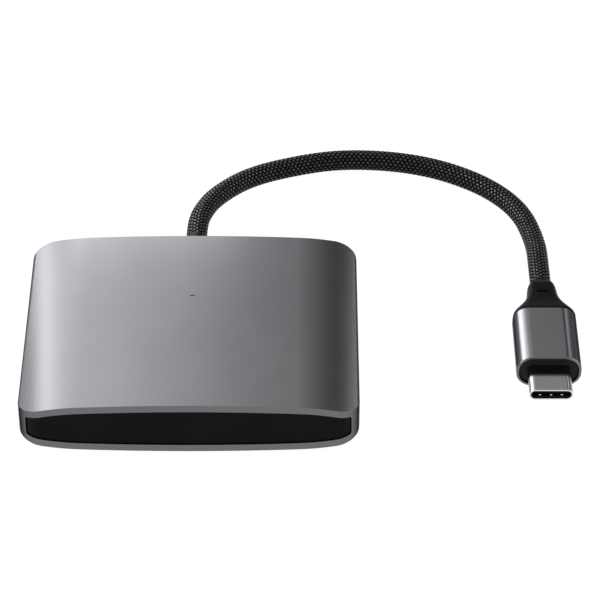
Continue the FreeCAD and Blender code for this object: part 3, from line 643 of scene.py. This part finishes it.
def make_feet():
    """Four round rubber pads, modelled once."""
    low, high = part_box("foot_front_left")
    spot = ((low.x + high.x) / 2, (low.y + high.y) / 2)
    foot = drum("foot_pad_front_left", (*spot, low.z), (high.x - low.x) / 2, high.z - low.z)
    soften(foot, lambda edge: at(centre(edge).z, low.z), FOOT_ROUNDING, 4)
    pick(foot, "FACE", lambda face: at(centre(face).z, low.z))
    bpy.ops.mesh.inset(thickness=FOOT_RING)
    bpy.ops.mesh.inset(thickness=FOOT_DISH)
    bpy.ops.transform.translate(value=(0, 0, FOOT_DISH))
    leave_edit()
    finish_piece(foot, FOOT_RUBBER, ["foot_front_left"], weighted=False)
    for label in ("foot_front_right", "foot_rear_left", "foot_rear_right"):
        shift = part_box(label)[0] - low
        twin(foot, label.replace("foot_", "foot_pad_"), shift, [label])


# ---------------------------------------------------------------- sockets


TONGUE_BASE = 1.6 * MM     # the block that a socket's tongue stands on


def make_sockets():
    """Four steel sockets with their plastic tongues, modelled once."""
    low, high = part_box("port_shell_1")
    middle = ((low.x + high.x) / 2, MIDDLE)
    shell = round_slab("socket_shell_1", middle, PORT_WIDTH, PORT_HEIGHT, PORT_HEIGHT / 2 - EASE,
                       low.y, high.y, corner_steps=12)
    hollow_end(shell, high.y, PORT_WALL, -(high.y - low.y - PORT_WALL))
    soften(shell, lambda edge: at(centre(edge).y, high.y), 0.09 * MM, 3)
    leave_edit()
    finish_piece(shell, STEEL, ["port_shell_1"])
    root = low.y + PORT_WALL
    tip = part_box("port_tongue_1")[1].y
    base = round_slab("socket_tongue_1", middle, PORT_WIDTH - 2 * (PORT_WALL + EASE),
                      PORT_HEIGHT - 2 * (PORT_WALL + EASE), PORT_HEIGHT / 2 - PORT_WALL - 2 * EASE,
                      root, root + TONGUE_BASE)
    soften(base, lambda edge: at(centre(edge).y, root + TONGUE_BASE), 0.08 * MM, 2)
    leave_edit()
    tongue = round_slab("tongue_bar", middle, TONGUE_WIDTH, TONGUE_HEIGHT, 0.12 * MM, root + MM,
                        tip, corner_steps=3)
    soften(tongue, lambda edge: at(centre(edge).y, tip), 0.1 * MM, 2)
    leave_edit()
    carve(base, tongue, "UNION")
    finish_piece(base, CONTACT_PLASTIC, ["port_tongue_1"])
    for number in (2, 3, 4):
        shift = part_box("port_shell_%d" % number)[0] - low
        twin(shell, "socket_shell_%d" % number, shift, ["port_shell_%d" % number])
        twin(base, "socket_tongue_%d" % number, shift,
             ["port_tongue_%d" % number])


# ---------------------------------------------------------------- cable


CORD_ROUTE = [         # from the end of the collar to the end of the plug's boot
    (0.0, 0.0313, 0.0060),
    (0.0, 0.0359, 0.0060),
    (0.0009, 0.0405, 0.0058),
    (0.0034, 0.0469, 0.0050),
    (0.0104, 0.0555, 0.0037),
    (0.0220, 0.0616, 0.0024),
    (0.0305, 0.0635, 0.0021),
    (0.0412, 0.0627, 0.0021),
    (0.0507, 0.0596, 0.0021),
    (0.0596, 0.0537, 0.0021),
    (0.0657, 0.0457, 0.0021),
    (0.0681, 0.0354, 0.0022),
    (0.0681, 0.0266, 0.00355),
    (0.0681, 0.01965, 0.00355),
]
CARRIERS = 20              # ribbons in each direction
LAY = 20.0 * MM            # along the cable, for one turn of a ribbon
RIBBON_WIDTH = 0.55 * MM
RIBBON_MIDDLE = 1.95 * MM  # from the cable's axis
WEAVE_DEPTH = 0.088 * MM
STATIONS = 112             # of a ribbon's section, to one turn
CORE_RADIUS = 1.86 * MM
WALK_STEP = 0.13 * MM
YARN_MARGIN = 0.98         # how much of its strip in the yarn's chart a ribbon takes up
RIBBON_PROFILE = [(-0.5, -0.02), (-0.27, 0.055), (0.27, 0.055), (0.5, -0.02), (0.27, -0.05),
                  (-0.27, -0.05)]   # across in widths, height in millimetres


def make_core():
    """The cable inside the braid, and the points of its centreline."""
    curve = bpy.data.curves.new("cable_core", "CURVE")
    curve.dimensions = "3D"
    spline = curve.splines.new("NURBS")
    spline.points.add(len(CORD_ROUTE) - 1)
    for point, spot in zip(spline.points, CORD_ROUTE):
        point.co = (*spot, 1)
    spline.order_u = 3
    spline.use_endpoint_u = True
    spline.resolution_u = 24
    core = bpy.data.objects.new("cable_core", curve)
    bpy.context.scene.collection.objects.link(core)
    plain = bpy.data.meshes.new_from_object(core)
    line = [vertex.co.copy() for vertex in plain.vertices]
    bpy.data.meshes.remove(plain)
    curve.bevel_depth = CORE_RADIUS
    curve.bevel_resolution = 8
    curve.use_fill_caps = True
    curve.materials.append(CORE)
    return core, line


def walk(line):
    """Even steps along the line: places and upright frames carried along without twist."""
    points = numpy.array([tuple(point) for point in line])
    runs = numpy.linalg.norm(numpy.diff(points, axis=0), axis=1)
    far = numpy.concatenate([[0.0], numpy.cumsum(runs)])
    steps = int(far[-1] / WALK_STEP)
    marks = numpy.linspace(0.0, far[-1], steps + 1)
    places = numpy.stack([numpy.interp(marks, far, points[:, axis]) for axis in range(3)], axis=1)
    headings = numpy.gradient(places, axis=0)
    headings /= numpy.linalg.norm(headings, axis=1)[:, None]
    up = numpy.array([0.0, 0.0, 1.0])
    ups = []
    for heading in headings:
        up = up - heading * up.dot(heading)
        up /= numpy.linalg.norm(up)
        ups.append(up)
    ups = numpy.array(ups)
    return marks, places, ups, numpy.cross(headings, ups)


def make_ribbons(name, turn, walked, yarn):
    """All the ribbons that wind one way: over two of the other way, then under two.

    A ribbon is at the top of its wave where rises is even and at the bottom where it is odd, and
    rises changes by one over two crossings. The head start puts the two ways out of step, so one
    is on top where the other is below.
    """
    marks, places, ups, sides = walked
    length = marks[-1]
    lean = math.atan(2 * math.pi * RIBBON_MIDDLE / LAY)
    stations = numpy.linspace(0.0, length, int(length / (LAY / STATIONS)) + 1)
    ring = len(RIBBON_PROFILE)
    corners, faces, chart = [], [], []
    crossings = stations / (LAY / (2 * CARRIERS))
    head_start = 0.5 if turn > 0 else 2.5
    for carrier in range(CARRIERS):
        angle = 2 * math.pi * carrier / CARRIERS + turn * 2 * math.pi * stations / LAY
        rises = (2 * carrier + turn * crossings - head_start) / 2
        wave = numpy.cos(rises * math.pi) * WEAVE_DEPTH
        first = len(corners)
        rows = []
        for across, height in RIBBON_PROFILE:
            offset = across * RIBBON_WIDTH
            along = numpy.clip(stations - turn * offset * math.sin(lean), 0.0, length)
            around = angle + offset * math.cos(lean) / RIBBON_MIDDLE
            radius = RIBBON_MIDDLE + wave + height * MM
            spot = [numpy.interp(along, marks, places[:, axis])
                    + radius * (numpy.cos(around) * numpy.interp(along, marks, ups[:, axis])
                                + numpy.sin(around) * numpy.interp(along, marks, sides[:, axis]))
                    for axis in range(3)]
            rows.append(numpy.stack(spot, axis=1))
        for step in range(len(stations)):
            corners.extend(tuple(row[step]) for row in rows)
        for step in range(len(stations) - 1):
            here, there = first + step * ring, first + (step + 1) * ring
            for index in range(ring):
                after = (index + 1) % ring
                faces.append((here + index, here + after, there + after, there + index))
                left = carrier + 0.5 + RIBBON_PROFILE[index][0] * YARN_MARGIN
                right = carrier + 0.5 + RIBBON_PROFILE[after][0] * YARN_MARGIN
                low, high = rises[step], rises[step + 1]
                chart.extend([(left, low), (right, low), (right, high), (left, high)])
        for end in (first, first + (len(stations) - 1) * ring):
            faces.append(tuple(range(end, end + ring)))
            chart.extend([(carrier + 0.5, rises[0])] * ring)
    mesh = bpy.data.meshes.new(name)
    mesh.from_pydata(corners, [], faces)
    layer = mesh.uv_layers.new(name="yarn")
    layer.data.foreach_set("uv", numpy.array(chart, dtype=float).ravel())
    ribbons = bpy.data.objects.new(name, mesh)
    bpy.context.scene.collection.objects.link(ribbons)
    edit(ribbons)
    bpy.ops.mesh.select_all(action="SELECT")
    bpy.ops.mesh.normals_make_consistent(inside=False)
    leave_edit()
    bpy.ops.object.shade_smooth()
    mesh.materials.append(yarn)
    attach(ribbons, "root")
    return ribbons


def make_gland():
    """The collar that the cable leaves the rear panel through, narrowing along the cable."""
    low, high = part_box("cable_gland")
    neck = 2.75
    profile = [(3.60, low.y), (3.60, PANEL_BACK), (neck, PANEL_BACK), (neck, 25.3 * MM),
               (2.66, 26.4 * MM), (2.50, 28.4 * MM), (2.34, 30.2 * MM), (2.28, 30.8 * MM),
               (2.22, 31.15 * MM), (2.14, high.y)]   # radius in millimetres, and place along Y
    gland = begin("cable_collar")
    bpy.ops.mesh.primitive_circle_add(vertices=64, radius=profile[0][0] * MM, fill_type="NGON",
                                      location=(0, low.y, MIDDLE), rotation=(math.pi / 2, 0, 0))
    for (before, start), (radius, y) in zip(profile, profile[1:]):
        push(y=y - start)
        share = radius / before
        stretch(share, 1, share, (0, y, MIDDLE))
    outward()
    leave_edit()
    return finish_piece(gland, BOOT_BLACK, ["cable_gland"], smooth=40,
                        weighted=False)


# ---------------------------------------------------------------- plug


SLEEVE_OUTER_RIM = 0.24 * MM
SLEEVE_INNER_RIM = 0.1 * MM
SLEEVE_REAR_RIM = 0.12 * MM
SHELL_RIM = 0.11 * MM
MOUTH_WIDTH = 6.8 * MM
MOUTH_HEIGHT = 0.76 * MM
MOUTH_DEPTH = 6.2 * MM
SPRING_HALF = 0.3 * MM     # half a sprung pad's width, and how far it stands out
SPRING_RISE = 0.2 * MM


def plug_slab(name, width, height, radius, start, end, **more):
    """A bar with round corners on the plug's axis."""
    return round_slab(name, (PLUG_X, PLUG_Z), width, height, radius, start, end, **more)


def sharp_at(edge, y):
    """Whether an edge is a sharp one at this place along Y."""
    return all(at(corner.co.y, y) for corner in edge.verts) and edge.calc_face_angle(0.0) > SHARP


def outside_sleeve(edge):
    """Whether an edge is on the plug sleeve's outside, not in its bore."""
    spot = centre(edge)
    reach = max(abs(spot.x - PLUG_X) / (SLEEVE_WIDTH / 2 - SLEEVE_WALL / 2),
                abs(spot.z - PLUG_Z) / (SLEEVE_HEIGHT / 2 - SLEEVE_WALL / 2))
    from_corner = math.hypot(max(0, abs(spot.x - PLUG_X) - SLEEVE_WIDTH / 2 + SLEEVE_RADIUS),
                             max(0, abs(spot.z - PLUG_Z) - SLEEVE_HEIGHT / 2 + SLEEVE_RADIUS))
    return reach > 1 or from_corner > SLEEVE_RADIUS - SLEEVE_WALL / 2


def make_plug_sleeve():
    """The plug's aluminium sleeve, open at both ends."""
    low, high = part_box("plug_sleeve")
    sleeve = plug_slab("plug_sleeve_body", SLEEVE_WIDTH, SLEEVE_HEIGHT, SLEEVE_RADIUS, low.y, high.y,
                       corner_steps=16)
    carve(sleeve, plug_slab("sleeve_tool", SLEEVE_WIDTH - 2 * SLEEVE_WALL,
                            SLEEVE_HEIGHT - 2 * SLEEVE_WALL, SLEEVE_RADIUS - SLEEVE_WALL,
                            low.y - MM, high.y + MM, corner_steps=16))
    soften(sleeve, lambda edge: sharp_at(edge, low.y) and outside_sleeve(edge), SLEEVE_OUTER_RIM, 3)
    soften(sleeve, lambda edge: sharp_at(edge, low.y) and not outside_sleeve(edge),
           SLEEVE_INNER_RIM, 2)
    soften(sleeve, lambda edge: sharp_at(edge, high.y), SLEEVE_REAR_RIM, 2)
    leave_edit()
    finish_piece(sleeve, ALUMINIUM, ["plug_sleeve"])


def make_plug_face():
    """The black plate that closes the sleeve round the steel shell."""
    low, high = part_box("plug_face")
    face = plug_slab("plug_face_plate", SLEEVE_WIDTH - 2 * (SLEEVE_WALL + EASE),
                     SLEEVE_HEIGHT - 2 * (SLEEVE_WALL + EASE), SLEEVE_RADIUS - SLEEVE_WALL - EASE,
                     low.y, high.y, corner_steps=12)
    soften(face, lambda edge: at(centre(edge).y, low.y), 0.08 * MM, 2)
    leave_edit()
    carve(face, plug_slab("face_tool", SHELL_WIDTH + 2 * EASE, SHELL_HEIGHT + 2 * EASE,
                          SHELL_HEIGHT / 2, low.y - MM, high.y + MM, corner_steps=12))
    finish_piece(face, PLUG_BLACK_AND_PAINTED_LIGHT, ["plug_face"])


def make_plug_shell():
    """The steel shell with a painted highlight on its rim, and the black lining in it."""
    tip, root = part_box("plug_shell")[0].y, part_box("plug_shell")[1].y
    shell = plug_slab("plug_shell_tube", SHELL_WIDTH, SHELL_HEIGHT, SHELL_HEIGHT / 2 - EASE,
                      tip, root, corner_steps=14)
    hollow_end(shell, tip, SHELL_WALL, root - tip - 0.2 * MM)
    soften(shell, lambda edge: at(centre(edge).y, tip), SHELL_RIM, 3)
    leave_edit()
    finish_piece(shell, STEEL, ["plug_shell"])
    # the faces at the tip take the paler steel: a painted highlight along the shell's rim
    shell.data.materials.append(PALE_STEEL_AND_RIM_HIGHLIGHT)
    for face in shell.data.polygons:
        if face.center.y < tip + 0.1 * MM:
            face.material_index = 1

    front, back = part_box("plug_insulator")[0].y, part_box("plug_insulator")[1].y - 0.25 * MM
    lining = plug_slab("plug_lining", SHELL_WIDTH - 2 * (SHELL_WALL + EASE),
                       SHELL_HEIGHT - 2 * (SHELL_WALL + EASE),
                       SHELL_HEIGHT / 2 - SHELL_WALL - 2 * EASE, front, back, corner_steps=10)
    carve(lining, plug_slab("mouth_tool", MOUTH_WIDTH, MOUTH_HEIGHT, 0.06 * MM, tip - MM,
                            tip + MOUTH_DEPTH, corner_steps=2))
    soften(lining, lambda edge: sharp_at(edge, front), 0.05 * MM, 2)
    leave_edit()
    finish_piece(lining, CONTACT_PLASTIC, ["plug_insulator"])


def make_spring_pads():
    """Three sprung pads on each side of the plug's mouth."""
    low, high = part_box("plug_springs")
    size = (SPRING_HALF, (high.y - low.y) / 2, SPRING_RISE)
    pads = begin("plug_spring_pads")
    for level in (low.z, high.z):
        for place in (low.x + SPRING_HALF, PLUG_X, high.x - SPRING_HALF):
            spot = (place, (low.y + high.y) / 2, level)
            bpy.ops.mesh.primitive_uv_sphere_add(segments=24, ring_count=12, radius=1,
                                                 location=spot, scale=size)
    outward()
    leave_edit()
    finish_piece(pads, PALE_STEEL_AND_RIM_HIGHLIGHT, ["plug_springs"], smooth=60, weighted=False)


BOOT_STATIONS = [   # along Y, width and height in millimetres
    (6.5, 11.3, 6.0), (8.64, 11.3, 6.0), (8.66, 12.20, 6.90), (8.9, 12.24, 6.94), (9.4, 12.00, 6.80),
    (9.95, 11.35, 6.58), (10.6, 10.45, 6.32), (11.3, 9.45, 6.08), (12.05, 8.40, 5.88),
    (12.9, 7.42, 5.70), (13.8, 6.72, 5.56), (14.7, 6.28, 5.46), (15.6, 6.02, 5.37),
    (16.6, 5.84, 5.28), (17.4, 5.62, 5.16), (17.9, 5.36, 5.02), (18.3, 5.00, 4.84),
    (18.7, 4.62, 4.60), (18.95, 4.42, 4.42), (19.65, 4.32, 4.32),
]
ROUND_FROM = 18.7      # stations past this are circles
BOOT_CORNER = 2.3 * MM
SLOT_PLACE = 14.75 * MM
SLOT_HEIGHT = 2.9 * MM     # from the plug's axis to the slot's middle
SLOT_SIZE = (2.1 * MM, 0.5 * MM, 1.4 * MM)


def make_boot():
    """The strain relief: a bell behind the sleeve that turns into a round neck, with two slots."""
    start, width, height = BOOT_STATIONS[0]
    boot = begin("plug_boot_bell")
    bpy.ops.mesh.primitive_plane_add(size=1, location=(PLUG_X, start * MM, PLUG_Z),
                                     rotation=(math.pi / 2, 0, 0))
    stretch(width * MM, 1, height * MM, (PLUG_X, start * MM, PLUG_Z))
    bpy.ops.mesh.bevel(offset=BOOT_CORNER, segments=8, affect="VERTICES")
    pick(boot, "EDGE", lambda edge: edge.calc_length() > 3 * MM)
    bpy.ops.mesh.subdivide(number_cuts=7)
    bpy.ops.mesh.select_mode(type="FACE")
    bpy.ops.mesh.select_all(action="SELECT")
    for before, after in zip(BOOT_STATIONS, BOOT_STATIONS[1:]):
        push(y=(after[0] - before[0]) * MM)
        spot = (PLUG_X, after[0] * MM, PLUG_Z)
        if before[0] < ROUND_FROM <= after[0]:
            bpy.ops.transform.tosphere(value=1.0)
            shape = bmesh.from_edit_mesh(boot.data)
            now = 2 * max(vertex.co.z - PLUG_Z for vertex in shape.verts if vertex.select)
            stretch(after[1] * MM / now, 1, after[2] * MM / now, spot)
        else:
            stretch(after[1] / before[1], 1, after[2] / before[2], spot)
    outward()
    leave_edit()
    for side in (-1, 1):
        tool = begin("slot_tool")
        spot = (PLUG_X, SLOT_PLACE, PLUG_Z + side * SLOT_HEIGHT)
        bpy.ops.mesh.primitive_cube_add(size=1, location=spot)
        stretch(*SLOT_SIZE, spot)
        outward()
        carve(boot, tool)
    return finish_piece(boot, BOOT_BLACK, ["plug_boot"], smooth=40, weighted=False)


# ---------------------------------------------------------------- make the pieces

core, line = make_core()
walked = walk(line)
braid_right = make_ribbons("braid_right", 1, walked, RIGHT_YARN)
braid_left = make_ribbons("braid_left", -1, walked, LEFT_YARN)
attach(core, "root")
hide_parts("cable")

housing = make_housing()
make_panel("front_panel_plate", -1, "front_panel")
make_panel("rear_panel_plate", 1, "rear_panel")
make_feet()
make_sockets()
gland = make_gland()
make_plug_sleeve()
make_plug_face()
make_plug_shell()
make_spring_pads()
boot = make_boot()

NODE_FINISHES = {
    "main_board": BOARD,
    "hub_controller": CHIP,
    "power_controller": CHIP,
    "flash_memory": CHIP,
    "surge_arrays": CHIP,
    "crystal": TIN,
    "resistors": CHIP,
    "capacitors": CERAMIC,
    "inductor": FERRITE,
    "status_light": CLEAR,
    "light_pipe": CLEAR,
    "cable_ferrule": STEEL,
    "cable_leads": LEAD,
    "port_contacts_1": GOLD,
    "port_contacts_2": GOLD,
    "port_contacts_3": GOLD,
    "port_contacts_4": GOLD,
    "plug_contacts": GOLD,
    "plug_latches": STEEL,
    "plug_board": BOARD,
    "plug_shield": TIN,
}
for label, material in NODE_FINISHES.items():
    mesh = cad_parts[label].data
    mesh.materials.clear()
    mesh.materials.append(material)

# ---------------------------------------------------------------- floor and light

floor = begin("floor")
bpy.ops.mesh.primitive_plane_add(size=6, location=(0, 0, 0))
leave_edit()
paper = new_material("studio_floor", {"Roughness": 0.9, "Specular IOR Level": 0.1,
                                      "Base Color": (0.06, 0.06, 0.06, 1),
                                      "Emission Color": (1, 1, 1, 1),
                                      "Emission Strength": 0.97})[0]
floor.data.materials.append(paper)


SKY = [     # degrees turned right from straight behind the hub, and how bright the studio is there
    (-180, 1.8), (-110, 1.2), (-100, 5.8), (-66, 5.8), (-52, 2.4), (-38, 1.6), (-26, 1.5), (-17, 1.5),
    (-10, 1.1), (-4, 1.4), (0, 1.45), (3, 1.05), (6, 0.85), (10, 0.65), (14, 0.4), (18, 0.05),
    (23.5, 0.0), (25.5, 2.1), (31, 2.1), (33, 0.4), (60, 0.4), (74, 3.5), (94, 3.5), (110, 1.2),
    (180, 1.8),
]
BRIGHTEST = 6.0        # the ramp's full scale
OVERHEAD = 0.65        # how bright it is overhead, and high up in front
OVERHEAD_LEAN = -0.6
OVERHEAD_FROM, OVERHEAD_FULL = 0.62, 0.85


def make_world():
    """A soft studio sky of upright light panels, plain white behind the object."""
    world = bpy.data.worlds.new("studio")
    bpy.context.scene.world = world
    world.use_nodes = True
    tree = world.node_tree
    heading = put(tree, "ShaderNodeSeparateXYZ",
                  {0: put(tree, "ShaderNodeTexCoord").outputs["Generated"]}).outputs
    turn = sums(tree, "ARCTAN2", heading["X"], heading["Y"])
    ramp = put(tree, "ShaderNodeValToRGB",
               {"Fac": sums(tree, "MULTIPLY_ADD", turn, 0.5 / math.pi, 0.5)})
    stops = ramp.color_ramp.elements
    for degrees, bright in SKY[1:-1]:
        stops.new(0.5 + degrees / 360)
    for stop, (degrees, bright) in zip(stops, SKY):
        stop.position = 0.5 + degrees / 360
        stop.color = (*[bright / BRIGHTEST] * 3, 1)
    panels = sums(tree, "MULTIPLY", ramp.outputs["Color"], BRIGHTEST)
    above = spread(tree, sums(tree, "MULTIPLY_ADD", heading["Y"], OVERHEAD_LEAN, heading["Z"]),
                   OVERHEAD_FROM, OVERHEAD_FULL, 0.0, 1.0)
    level = put(tree, "ShaderNodeMix", {"Factor": above, 2: panels, 3: OVERHEAD}).outputs[0]
    seen = put(tree, "ShaderNodeLightPath").outputs["Is Camera Ray"]
    level = put(tree, "ShaderNodeMix", {"Factor": seen, 2: level, 3: 1.0}).outputs[0]
    background = tree.nodes["Background"].inputs
    background["Color"].default_value = (1, 1, 1, 1)
    tree.links.new(level, background["Strength"])


PANELS = [      # left and right ends, bottom and top, distance behind in millimetres, and brightness
    ("far_left", (-149, -127), (45, 300), 250, 6.5),
    ("left", (-127, -112), (45, 300), 250, 2.7),
    ("mid_left", (-112, -62), (45, 300), 250, 2.0),
    ("near_left", (-62, -40), (45, 300), 250, 1.7),
    ("middle", (-40, -8), (45, 300), 250, 0.85),
    ("low", (-50, 10), (18, 76), 115, 4.0),
]


def make_panels():
    """Upright soft lights that stand close behind the hub on its left."""
    for label, (left, right), (bottom, top), behind, level in PANELS:
        data = bpy.data.lights.new("panel_" + label, "AREA")
        data.shape = "RECTANGLE"
        data.size = (right - left) * MM
        data.size_y = (top - bottom) * MM
        data.energy = level * math.pi * data.size * data.size_y
        panel = bpy.data.objects.new("panel_" + label, data)
        panel.location = ((left + right) / 2 * MM, behind * MM, (bottom + top) / 2 * MM)
        panel.rotation_euler = (-math.pi / 2, 0, 0)
        panel.visible_camera = False
        bpy.context.scene.collection.objects.link(panel)


make_world()
make_panels()
bpy.context.scene.view_settings.view_transform = "Standard"

only(housing)
